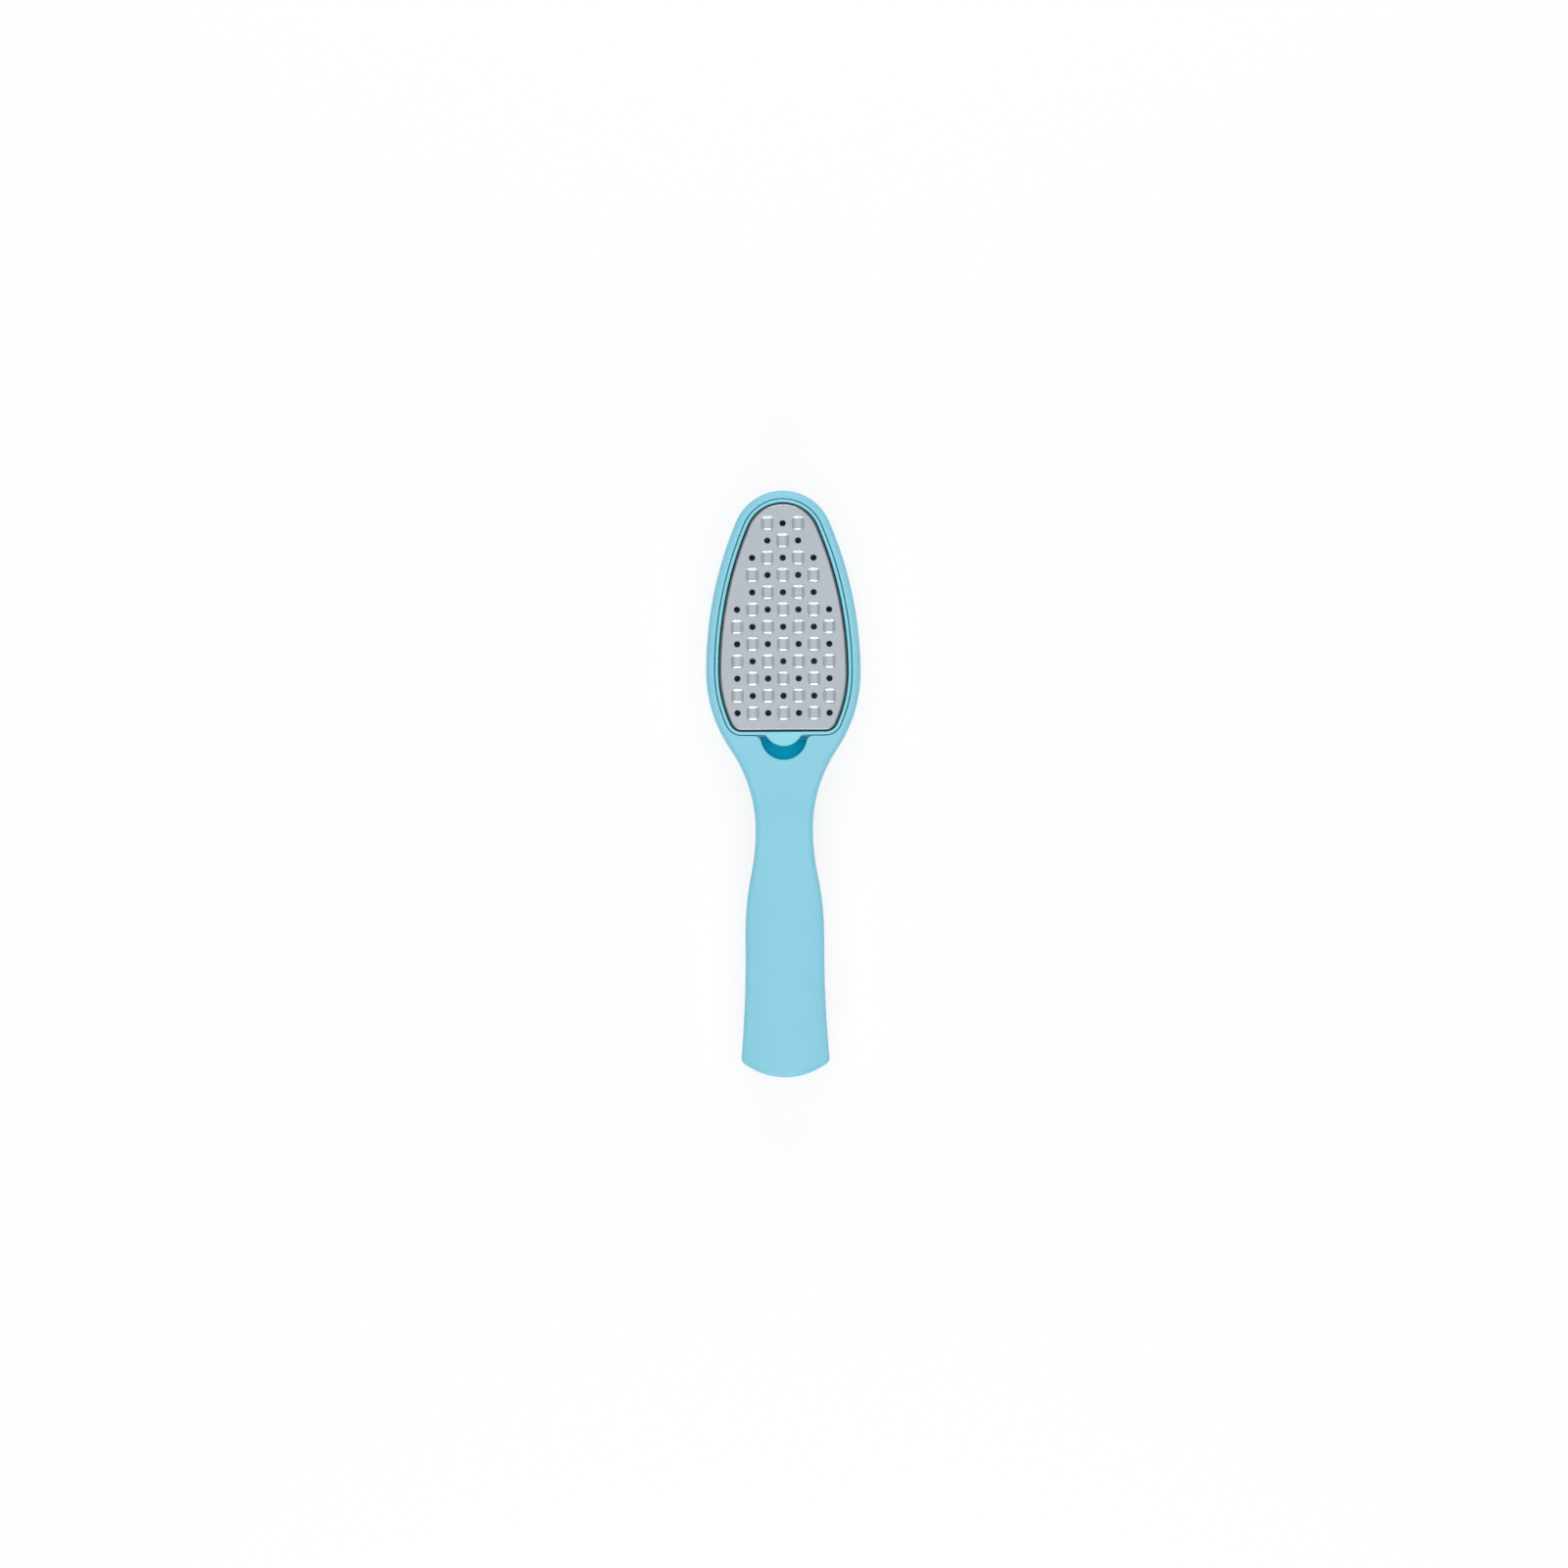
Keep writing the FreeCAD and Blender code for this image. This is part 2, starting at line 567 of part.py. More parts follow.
def blade_frame():
    """Rim round the steel, with a rebate under it for the plate's flange."""
    ring = egg(FRAME_INSET, FRAME_Z, HEAD_DEPTH)
    grip = tongue(FRAME_INSET - TONGUE_REACH, TONGUE_WIDTH, FRAME_Z, FRAME_Z + TONGUE_THICK)
    ring = ring.fuse([grip, finger_tab()])
    window = egg(WINDOW_INSET, FRAME_Z, HEAD_DEPTH)
    rebate = egg(REBATE_INSET, FRAME_Z, HEAD_DEPTH - RIM_THICK)
    ring = ring.cut([window, rebate]).removeSplitter().Solids[0]
    ring = ring.makeFillet(TAB_CORNER, upright_edges(ring, TAB_WIDTH / 2, FRAME_Y))
    top = [edge for edge in ring.Edges if edge.BoundBox.ZMin > HEAD_DEPTH - FIT_GAP]
    return ring.makeFillet(FRAME_ROUND, top)


def tooth_places():
    """Places of the holes and of the bridges, a checkerboard that fills the plate."""
    holes, bridges = [], []
    base_y = POCKET_Y + PLATE_INSET - BEZEL_WIDTH
    columns = int(HALF_HEAD / PITCH_X)
    row = 0
    y = Y_TIP - PLATE_INSET - FIRST_ROW_FROM_TIP
    while y - TOOTH_MARGIN > base_y:
        room = half_width(y, PLATE_INSET) - TOOTH_MARGIN
        for column in range(-columns, columns + 1):
            if abs(column) * PITCH_X < room:
                kind = bridges if (row + column) % 2 else holes
                kind.append((column * PITCH_X, y))
        row += 1
        y -= PITCH_Y
    return holes, bridges


def across(points, x, y, width):
    """Solid with a side profile of (y, z) points, spread evenly about x."""
    corners = [Vector(x - width / 2, y + side, PLATE_Z + level) for side, level in points]
    face = Part.Face(Part.makePolygon(corners + corners[:1]))
    return face.extrude(Vector(width, 0, 0))


def bridge_solid(x, y):
    """Raised strap before its tunnel is cut."""
    foot, top = BRIDGE_LENGTH / 2, BRIDGE_TOP / 2
    points = [(-foot, -SHEET / 2), (-foot, 0), (-top, BRIDGE_RISE), (top, BRIDGE_RISE), (foot, 0),
              (foot, -SHEET / 2)]
    return across(points, x, y, BRIDGE_WIDTH)


def bridge_tunnel(x, y):
    """Opening under a strap, which also slits the sheet along both its sides."""
    slope = (BRIDGE_LENGTH - BRIDGE_TOP) / 2 / BRIDGE_RISE
    foot = BRIDGE_LENGTH / 2 - SHEET * math.hypot(1, slope)
    roof = BRIDGE_RISE - SHEET
    top = foot - roof * slope
    points = [(-foot, -2 * SHEET), (-foot, 0), (-top, roof), (top, roof), (foot, 0), (foot, -2 * SHEET)]
    return across(points, x, y, BRIDGE_WIDTH + 2 * SLIT)


def blade_plate():
    """Stamped sheet: a shallow cup with a flange, punched holes and lanced bridges."""
    cup = egg(PLATE_INSET, FLANGE_Z, PLATE_Z)
    cup = cup.makeFillet(PLATE_ROUND, [edge for edge in cup.Edges if edge.BoundBox.ZMin > PLATE_Z - FIT_GAP])
    under = PLATE_Z - SHEET
    inside = egg(PLATE_INSET + SHEET, FLANGE_Z - MARGIN, under)
    roof_edges = [edge for edge in inside.Edges if edge.BoundBox.ZMin > under - FIT_GAP]
    inside = inside.makeFillet(PLATE_ROUND - SHEET, roof_edges)
    flange = egg(FLANGE_INSET, FLANGE_Z, FLANGE_TOP_Z)
    holes, bridges = tooth_places()
    plate = cup.fuse(flange).cut(inside).fuse([bridge_solid(x, y) for x, y in bridges])
    cuts = [bridge_tunnel(x, y) for x, y in bridges]
    cuts += [rod(HOLE_D, x, y, under - MARGIN, PLATE_Z + MARGIN) for x, y in holes]
    return plate.cut(cuts).Solids[0]


def plate_retainer():
    """Ring pressed in under the plate's flange, with ribs that back the sheet between its rows."""
    high = FLANGE_Z - FIT_GAP
    ring = egg(FLANGE_INSET, FRAME_Z, high).cut(egg(RING_INSET, FRAME_Z, high))
    roof = PLATE_Z - SHEET - FIT_GAP
    room = egg(PLATE_INSET + PLATE_ROUND + REBATE_GAP, FRAME_Z, roof)
    holes, bridges = tooth_places()
    rows = sorted({y for x, y in holes + bridges}, reverse=True)
    ribs = []
    for y in rows[RIB_EVERY - 1:-1:RIB_EVERY]:
        middle = y - PITCH_Y / 2
        rib = block(-HALF_HEAD, HALF_HEAD, middle - RIB_THICK / 2, middle + RIB_THICK / 2, FRAME_Z, roof)
        ribs.append(rib.common(room))
    return ring.fuse(ribs).removeSplitter().Solids[0]


def main():
    os.makedirs("parts", exist_ok=True)
    body = body_solid(0)
    core = body_solid(WALL / 2)
    hollow = body_solid(WALL)
    nodes = {
        "front_shell": front_shell(body, core, hollow),
        "back_shell": back_shell(body, core, hollow),
        "shell_screws": Part.Compound([shell_screw(y) for y in SCREWS_Y]),
        "blade_frame": blade_frame(),
        "blade_plate": blade_plate(),
        "plate_retainer": plate_retainer(),
    }
    for name, shape in nodes.items():
        if not shape.isValid():
            raise RuntimeError(name + " is not a valid solid")
        shape.exportStep("parts/" + name + ".step")
        print(name, len(shape.Solids), round(shape.Volume, 1))


if __name__ == "__main__":
    main()
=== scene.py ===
import math

import bmesh
import bpy
from bpy.props import FloatProperty, FloatVectorProperty, PointerProperty
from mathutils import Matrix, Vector


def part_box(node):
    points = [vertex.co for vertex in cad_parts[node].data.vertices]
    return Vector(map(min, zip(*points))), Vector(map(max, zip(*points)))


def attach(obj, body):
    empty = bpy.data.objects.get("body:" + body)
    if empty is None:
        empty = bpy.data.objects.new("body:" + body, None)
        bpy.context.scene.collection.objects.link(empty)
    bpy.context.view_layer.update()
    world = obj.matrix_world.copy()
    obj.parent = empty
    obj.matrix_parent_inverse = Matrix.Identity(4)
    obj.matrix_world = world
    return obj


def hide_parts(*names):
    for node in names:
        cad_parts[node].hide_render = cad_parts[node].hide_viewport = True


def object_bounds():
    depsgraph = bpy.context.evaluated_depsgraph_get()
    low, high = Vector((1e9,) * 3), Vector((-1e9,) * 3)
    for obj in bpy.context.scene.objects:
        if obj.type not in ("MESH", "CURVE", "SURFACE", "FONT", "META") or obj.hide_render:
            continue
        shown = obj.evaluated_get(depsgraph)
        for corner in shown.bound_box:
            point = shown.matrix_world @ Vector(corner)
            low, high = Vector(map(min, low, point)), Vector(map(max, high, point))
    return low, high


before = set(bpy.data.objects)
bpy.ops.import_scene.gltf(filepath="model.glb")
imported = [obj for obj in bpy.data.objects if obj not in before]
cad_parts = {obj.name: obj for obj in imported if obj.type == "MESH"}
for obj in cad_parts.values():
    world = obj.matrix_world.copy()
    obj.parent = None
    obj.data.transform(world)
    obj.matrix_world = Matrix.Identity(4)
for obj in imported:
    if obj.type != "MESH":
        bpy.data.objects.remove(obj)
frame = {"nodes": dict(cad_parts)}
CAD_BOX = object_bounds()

bl_info = {
    "name": "Foot file dresser",
    "version": (1, 0, 0),
    "blender": (4, 5, 0),
    "location": "View3D > Sidebar > Foot file",
    "description": "Finishes a foot file with a lift-out blade cartridge and sets it on a white table",
    "category": "Object",
}

MM = 0.001

# How finely rounded shapes are drawn
ARC_STEP = math.radians(3)
LEAST_ARC_STEPS = 4
FOOT_STEPS = 4
ROLL_STEPS = 9
UNDER_STEPS = 5
HOLE_SIDES = 32
STRAP_COLUMNS = 15
STRAP_ROWS = 41

# Strap: where the bend of its long edges starts and ends, in half widths from its middle line
BEND_START = 0.35
BEND_END = 1.1

# Strap: where the arch under it is at its full height, as a share of the flat top from its middle
ARCH_TOP = 0.3

# Strap: how far its ends sink into the sheet, so that the two join
STRAP_SINK = 0.02 * MM

# Strap: a first lift of its upper face, before both faces get their levels, and the gap that is welded
FIRST_LIFT = 0.1 * MM
WELD_GAP = 0.001 * MM

# Length of the cutters for holes and openings, in sheet thicknesses
PIN_LENGTH = 8.0
OPENING_LENGTH = 4.0

# A face whose normal is more upright than this is flat, and an edge sharper than this is crisp
FLAT_NORMAL = 0.9998
CRISP_ANGLE = math.radians(32)

# Sockets of a colour mix, whose names repeat
MIX_SHARE = 0
MIX_FIRST = 6
MIX_LAST = 7
MIX_RESULT = 2

# Most values of a noise lie between these
NOISE_LOW = 0.3
NOISE_HIGH = 0.7

# Moulded plastic: darker and lighter tone, sizes of cloud and grain, refraction
ABS_TONES = (0.97, 1.03)
ABS_CLOUD = 14 * MM
ABS_GRAIN = 0.5 * MM
ABS_RELIEF = 0.03 * MM
ABS_IOR = 1.53

# Moulded plastic: roughness of each finish, and how far the grain lowers and raises it
SATIN_ROUGHNESS = 0.42
GLOSSY_ROUGHNESS = 0.2
PLAIN_ROUGHNESS = 0.5
GRAIN_LOWERS = 0.05
GRAIN_RAISES = 0.07

# Rolled steel: tones, size of a cloud, size of a line across, along and through the sheet, gloss
STEEL_TONES = (0.95, 1.05)
STEEL_CLOUD = 7 * MM
STEEL_LINE = (0.25 * MM, 9 * MM, 2 * MM)
STEEL_RELIEF = 0.01 * MM
STEEL_ROUGHNESS = (0.26, 0.38)

# Zinc: tones, size of a patch, gloss
ZINC_TONES = (0.85, 1.1)
ZINC_PATCH = 0.6 * MM
ZINC_ROUGHNESS = (0.22, 0.5)

# Painted shade in the finger scoop: shares of its rim where the painted shade is full and where it starts
SHADE_FULL_ACROSS = 1 / 3
SHADE_START_DOWN = 1 / 2

# Painted shade in the finger scoop: shares of its depth between which the painted blue changes, and its gloss
SHADE_FLOOR_DEPTH = 0.7
SHADE_TOP_DEPTH = 0.4
PLAIN_SPECULAR = 0.5
SCOOP_SPECULAR = 0.05

# Table: half of its side, in metres, and its roughness
TABLE_REACH = 4.0
TABLE_ROUGHNESS = 0.9

# Lights: sizes and places, in metres
TOP_LIGHT_SIZE = (2.4, 2.4)
TOP_LIGHT_HEIGHT = 1.6
END_LIGHT_SIZE = (1.0, 0.25)
END_LIGHT_REACH = 1.1
END_LIGHT_HEIGHT = 0.6


def linear(code):
    """Linear colour of an sRGB hex value."""
    values = [int(code[place:place + 2], 16) / 255 for place in (1, 3, 5)]
    return tuple(v / 12.92 if v <= 0.04045 else ((v + 0.055) / 1.055) ** 2.4 for v in values)


def tones(colour, factors):
    """A darker and a lighter tone of a colour."""
    return [tuple(min(1, part * factor) for part in colour) + (1,) for factor in factors]


def add(tree, kind, inputs=None, **settings):
    """Adds a node with its settings; an input is a value, a socket to link, or a list of sockets."""
    node = tree.nodes.new(kind)
    for name, value in settings.items():
        setattr(node, name, value)
    for key, value in (inputs or {}).items():
        sockets = value if isinstance(value, list) else [value]
        for source in sockets:
            if isinstance(source, bpy.types.NodeSocket):
                tree.links.new(source, node.inputs[key])
            else:
                node.inputs[key].default_value = source
    return node


def new_object(name, data):
    """Object in the scene that holds a mesh, a light or a camera."""
    item = bpy.data.objects.new(name, data)
    bpy.context.scene.collection.objects.link(item)
    return item


def front_level():
    """Level of the blade frame's top, which is level with the body's front."""
    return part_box("blade_frame")[1].z


def length_prop(name, words, millimetres):
    return FloatProperty(name=name, description=words, default=millimetres * MM, unit="LENGTH",
                         subtype="DISTANCE", precision=5, min=0)


def colour_prop(name, words, code):
    return FloatVectorProperty(name=name, description=words, default=linear(code), subtype="COLOR",
                               min=0, max=1)


class FootFileSizes(bpy.types.PropertyGroup):
    """Sizes of the stamped plate and of the outline that it follows."""
    head_width: length_prop("Head width", "Widest part of the body", 47.4)
    tip_radius: length_prop("Tip radius", "Round end of the head", 15.5)
    tip_to_widest: length_prop("Tip to widest", "From the head's tip to its widest place", 55.6)
    shoulder_radius: length_prop("Shoulder radius", "Round side below the widest place", 42.17)
    corner_radius: length_prop("Corner radius", "Lower corners, measured at the body's edge", 7.7)
    base_drop: length_prop("Base drop", "From the widest place to the lower edge, at the body's edge", 22.1)
    plate_inset: length_prop("Plate inset", "From the body's edge to the plate's wall", 4.15)
    flange_inset: length_prop("Flange inset", "From the body's edge to the plate's hidden flange", 3.45)
    sheet: length_prop("Sheet", "Thickness of the steel", 0.45)
    edge_round: length_prop("Rolled edge", "Radius of the plate's rolled edge", 0.8)
    pitch_x: length_prop("Pitch across", "Between columns of holes and straps", 4.7)
    pitch_y: length_prop("Pitch along", "Between rows of holes and straps", 5.28)
    first_row: length_prop("First row", "From the plate's tip to its first row", 6.05)
    margin: length_prop("Margin", "Least room between a hole or strap and the plate's wall", 3.0)
    hole: length_prop("Hole", "Diameter of a punched hole", 1.7)
    hole_lip: length_prop("Hole lip", "Flare that the punch leaves round a hole", 0.16)
    strap_width: length_prop("Strap width", "Across a raised strap", 3.4)
    strap_length: length_prop("Strap length", "Along a raised strap, with both ramps", 5.2)
    strap_top: length_prop("Strap top", "Flat top of a strap, between its ramps", 2.0)
    strap_rise: length_prop("Strap rise", "Height of a strap above the plate", 0.6)
    strap_round: length_prop("Strap edge", "How far the strap's long edges bend down", 0.26)
    slit: length_prop("Slit", "Open slit beside a strap", 0.12)
    window: length_prop("Strap opening", "Length of the opening under a strap", 2.5)
    plate_proud: length_prop("Plate above frame", "From the frame's top to the plate's", 0.5)
    bezel_width: length_prop("Bezel width", "From the body's edge to the blade pocket", 2.5)
    scoop_width: length_prop("Scoop width", "Across the finger scoop, where it opens into the pocket", 14.2)
    scoop_reach: length_prop("Scoop reach", "From the pocket's lower edge to the scoop's far end", 7.4)
    scoop_depth: length_prop("Scoop depth", "From the body's front to the scoop's floor", 7.5)
    scoop_rim: length_prop("Scoop rim", "Rounded rim of the scoop, which keeps the body's colour", 0.3)


class FootFileColours(bpy.types.PropertyGroup):
    """Colours of the finishes."""
    body: colour_prop("Body", "Light-blue ABS of the shells", "#8ad1e6")
    frame: colour_prop("Frame", "Light-blue ABS of the blade frame", "#8adcea")
    retainer: colour_prop("Retainer", "Hidden ring under the plate", "#7fb9cc")
    # Painted shade: both scoop blues stand in for the shade inside the deep finger scoop; the one near its
    # top is darker because more light falls in there
    scoop: colour_prop("Scoop", "Deeper blue on the floor of the finger scoop", "#04d8f3")
    scoop_top_shade: colour_prop("Scoop top", "Deeper blue near the scoop's top, which gets more light", "#08a4c4")
    steel: colour_prop("Steel", "Stainless sheet of the plate", "#a7adb4")
    # Painted shade: this dark colour on the plate's wall and flange stands in for the shade in the gap round
    # the plate
    steel_wall_shade: colour_prop("Steel wall", "Dull steel of the plate's drawn wall and flange", "#39464c")
    screw: colour_prop("Screws", "Zinc-plated screws", "#b9bbbd")
    table: colour_prop("Table", "White table under the file", "#ffffff")


class FootFileStage(bpy.types.PropertyGroup):
    """Camera and light."""
    camera_height: FloatProperty(name="Camera height", description="Above the body's front", default=1.2,
                                 unit="LENGTH")
    lens: FloatProperty(name="Lens", description="Focal length", default=90, unit="CAMERA")
    roll: FloatProperty(name="Camera roll", description="Turn of the camera about its line of sight",
                        default=math.radians(-0.32), unit="ROTATION")
    world: FloatProperty(name="Room light", description="Strength of the even light from all round",
                         default=0.25)
    top: FloatProperty(name="Top light", description="Power of the soft light overhead", default=19.0,
                       unit="POWER")
    ends: FloatProperty(name="End lights", description="Power of the low lights past tip and butt",
                        default=5.2, unit="POWER")
    table_glow: FloatProperty(name="Table glow", default=0.8,
                              description="Share of plain white in the table that the camera sees")


class FootFileSettings(bpy.types.PropertyGroup):
    """All settings of the foot file."""
    sizes: PointerProperty(type=FootFileSizes)
    colours: PointerProperty(type=FootFileColours)
    stage: PointerProperty(type=FootFileStage)


def new_material(name):
    """Material with a plain shader, and its tree."""
    material = bpy.data.materials.new(name)
    material.use_nodes = True
    tree = material.node_tree
    tree.nodes.clear()
    shader = add(tree, "ShaderNodeBsdfPrincipled")
    add(tree, "ShaderNodeOutputMaterial", {"Surface": shader.outputs["BSDF"]})
    return material, tree, shader


def moulded_abs(name, colour, roughness):
    """ABS from a spark-eroded mould: even colour, satin gloss broken up by a fine grain.

    The grain of such a mould is about 0.15 mm; it is drawn coarser, so that it shows.
    """
    material, tree, shader = new_material(name)
    place = add(tree, "ShaderNodeTexCoord").outputs["Object"]
    cloud = add(tree, "ShaderNodeTexNoise", {"Vector": place, "Scale": 1 / ABS_CLOUD, "Detail": 2.0})
    dark, light = tones(colour, ABS_TONES)
    tint = add(tree, "ShaderNodeMix", {MIX_SHARE: cloud.outputs["Fac"], MIX_FIRST: dark, MIX_LAST: light},
               data_type="RGBA")
    tree.links.new(tint.outputs[MIX_RESULT], shader.inputs["Base Color"])
    skin = add(tree, "ShaderNodeTexNoise", {"Vector": place, "Scale": 1 / ABS_GRAIN, "Detail": 3.0,
                                            "Roughness": 0.6}).outputs["Fac"]
    gloss = add(tree, "ShaderNodeMapRange", {"Value": skin, "From Min": NOISE_LOW, "From Max": NOISE_HIGH,
                                             "To Min": roughness - GRAIN_LOWERS,
                                             "To Max": roughness + GRAIN_RAISES})
    tree.links.new(gloss.outputs["Result"], shader.inputs["Roughness"])
    relief = add(tree, "ShaderNodeBump", {"Height": skin, "Strength": 0.25, "Distance": ABS_RELIEF})
    tree.links.new(relief.outputs["Normal"], shader.inputs["Normal"])
    shader.inputs["IOR"].default_value = ABS_IOR
    return material


def scoop_shade_share(tree, place, sizes):
    """Share of the scoop's painted shade: 1 on its walls and floor, down to 0 across its rounded rim."""
    rim = sizes.scoop_rim
    edge_y = CAD_BOX[1].y - sizes.tip_to_widest - sizes.base_drop + sizes.bezel_width
    radius = ((sizes.scoop_width / 2) ** 2 + sizes.scoop_reach ** 2) / (2 * sizes.scoop_reach)
    axis = (0, edge_y - sizes.scoop_reach + radius, 0)
    flat = add(tree, "ShaderNodeVectorMath", {0: place, 1: (1, 1, 0)}, operation="MULTIPLY").outputs[0]
    away = add(tree, "ShaderNodeVectorMath", {0: flat, 1: axis}, operation="DISTANCE").outputs["Value"]
    along, height = add(tree, "ShaderNodeSeparateXYZ", {0: place}).outputs[1:]
    spans = [(away, radius + rim, radius + rim * SHADE_FULL_ACROSS),
             (height, front_level() - rim * SHADE_START_DOWN, front_level() - rim),
             (along, edge_y, edge_y - rim)]
    share = 1.0
    for value, none, full in spans:
        part = add(tree, "ShaderNodeMapRange", {"Value": value, "From Min": none, "From Max": full})
        share = add(tree, "ShaderNodeMath", {0: part.outputs[0], 1: share}, operation="MULTIPLY").outputs[0]
    return share


def paint_scoop_shade(material, sizes, floor_shade_colour, top_shade_colour):
    """Painted shade: deeper, duller blue on the walls and floor of the finger scoop, where it is in shade."""
    tree = material.node_tree
    shader = tree.nodes["Principled BSDF"]
    plain = shader.inputs["Base Color"].links[0].from_socket
    place = add(tree, "ShaderNodeTexCoord").outputs["Object"]
    height = add(tree, "ShaderNodeSeparateXYZ", {0: place}).outputs["Z"]
    # Painted shade: one blue on the scoop's floor, changing to a darker one higher up, where more light falls
    # in
    rise = add(tree, "ShaderNodeMapRange", {"Value": height,
                                            "From Min": front_level() - SHADE_FLOOR_DEPTH * sizes.scoop_depth,
                                            "From Max": front_level() - SHADE_TOP_DEPTH * sizes.scoop_depth})
    deep = add(tree, "ShaderNodeMix", {MIX_SHARE: rise.outputs[0], MIX_FIRST: floor_shade_colour + (1,),
                                       MIX_LAST: top_shade_colour + (1,)}, data_type="RGBA").outputs[MIX_RESULT]
    share = scoop_shade_share(tree, place, sizes)
    both = add(tree, "ShaderNodeMix", {MIX_SHARE: share, MIX_FIRST: plain, MIX_LAST: deep}, data_type="RGBA")
    tree.links.new(both.outputs[MIX_RESULT], shader.inputs["Base Color"])
    gloss = add(tree, "ShaderNodeMapRange", {"Value": share, "To Min": PLAIN_SPECULAR,
                                             "To Max": SCOOP_SPECULAR})
    tree.links.new(gloss.outputs["Result"], shader.inputs["Specular IOR Level"])


def rolled_stainless(name, colour, wall_shade_colour, wall_shade_start, wall_shade_full):
    """Cold-rolled stainless sheet: soft grey mirror, its gloss drawn out in faint lines along the roll.

    The roll's lines are under 0.05 mm apart; they are drawn coarser, so that they show.
    The wall and flange are painted darker below the rolled edge; this is painted shade, which draws the
    line round the plate.
    """
    material, tree, shader = new_material(name)
    shader.inputs["Metallic"].default_value = 1.0
    place = add(tree, "ShaderNodeTexCoord").outputs["Object"]
    cloud = add(tree, "ShaderNodeTexNoise", {"Vector": place, "Scale": 1 / STEEL_CLOUD, "Detail": 2.0})
    dark, light = tones(colour, STEEL_TONES)
    tint = add(tree, "ShaderNodeMix", {MIX_SHARE: cloud.outputs["Fac"], MIX_FIRST: dark, MIX_LAST: light},
               data_type="RGBA").outputs[MIX_RESULT]
    # Painted shade: darker below the rolled edge, down the wall and flange
    height = add(tree, "ShaderNodeSeparateXYZ", {0: place}).outputs["Z"]
    down = add(tree, "ShaderNodeMapRange", {"Value": height, "From Min": wall_shade_start, "From Max": wall_shade_full})
    drawn = add(tree, "ShaderNodeMix", {MIX_SHARE: down.outputs[0], MIX_FIRST: tint,
                                        MIX_LAST: wall_shade_colour + (1,)}, data_type="RGBA")
    tree.links.new(drawn.outputs[MIX_RESULT], shader.inputs["Base Color"])
    along = add(tree, "ShaderNodeMapping", {"Vector": place, "Scale": tuple(1 / size for size in STEEL_LINE)})
    lines = add(tree, "ShaderNodeTexNoise", {"Vector": along.outputs["Vector"], "Scale": 1.0,
                                             "Detail": 3.0}).outputs["Fac"]
    gloss = add(tree, "ShaderNodeMapRange", {"Value": lines, "From Min": NOISE_LOW, "From Max": NOISE_HIGH,
                                             "To Min": STEEL_ROUGHNESS[0], "To Max": STEEL_ROUGHNESS[1]})
    tree.links.new(gloss.outputs["Result"], shader.inputs["Roughness"])
    relief = add(tree, "ShaderNodeBump", {"Height": lines, "Strength": 0.15, "Distance": STEEL_RELIEF})
    tree.links.new(relief.outputs["Normal"], shader.inputs["Normal"])
    return material


def zinc_plate(name, colour):
    """Bright zinc plating on turned steel: pale metal with a slightly patchy gloss."""
    material, tree, shader = new_material(name)
    shader.inputs["Metallic"].default_value = 1.0
    place = add(tree, "ShaderNodeTexCoord").outputs["Object"]
    patch = add(tree, "ShaderNodeTexNoise", {"Vector": place, "Scale": 1 / ZINC_PATCH,
                                             "Detail": 3.0}).outputs["Fac"]
    dark, light = tones(colour, ZINC_TONES)
    tint = add(tree, "ShaderNodeMix", {MIX_SHARE: patch, MIX_FIRST: dark, MIX_LAST: light}, data_type="RGBA")
    tree.links.new(tint.outputs[MIX_RESULT], shader.inputs["Base Color"])
    gloss = add(tree, "ShaderNodeMapRange", {"Value": patch, "To Min": ZINC_ROUGHNESS[0],
                                             "To Max": ZINC_ROUGHNESS[1]})
    tree.links.new(gloss.outputs["Result"], shader.inputs["Roughness"])
    return material


def paint_node(node, material):
    """Gives a CAD node its finish."""
    for holder in frame["nodes"][node].material_slots:
        holder.material = material


def egg_arcs(sizes):
    """Arcs down the right side of the head's outline, each as centre, radius, first and last turn."""
    half = sizes.head_width / 2
    top = CAD_BOX[1].y
    widest = top - sizes.tip_to_widest
    tip = Vector((0, top - sizes.tip_radius))
    run = sizes.tip_to_widest - sizes.tip_radius
    side_radius = (half ** 2 + run ** 2 - sizes.tip_radius ** 2) / (2 * (half - sizes.tip_radius))
    side = Vector((half - side_radius, widest))
    shoulder = Vector((half - sizes.shoulder_radius, widest))
    reach = sizes.shoulder_radius - sizes.corner_radius
    rise = sizes.base_drop - sizes.corner_radius
    corner = Vector((shoulder.x + math.sqrt(reach ** 2 - rise ** 2), widest - rise))
    side_turn = math.atan2(tip.y - side.y, tip.x - side.x)
    corner_turn = math.atan2(corner.y - shoulder.y, corner.x - shoulder.x)
    return [(tip, sizes.tip_radius, math.pi / 2, side_turn),
            (side, side_radius, side_turn, 0),
            (shoulder, sizes.shoulder_radius, 0, corner_turn),
            (corner, sizes.corner_radius, corner_turn, -math.pi / 2)]


def egg_samples(sizes):
    """Centre, outward way and radius of points round the head's outline, at the body's edge."""
    arcs = egg_arcs(sizes)
    right = []
    for centre, radius, start, end in arcs:
        steps = max(LEAST_ARC_STEPS, math.ceil(abs(end - start) / ARC_STEP))
        for step in range(steps):
            turn = start + (end - start) * step / steps
            right.append((centre, Vector((math.cos(turn), math.sin(turn))), radius))
    corner, corner_radius = arcs[-1][:2]
    right.append((corner, Vector((0, -1)), corner_radius))
    flip = Vector((-1, 1))
    left = [(centre * flip, way * flip, radius) for centre, way, radius in reversed(right[1:])]
    return right + left


def egg_points(samples, inset, level):
    """Points of the outline at an inset from the body's edge."""
    points = [centre + way * (radius - inset) for centre, way, radius in samples]
    return [Vector((point.x, point.y, level)) for point in points]


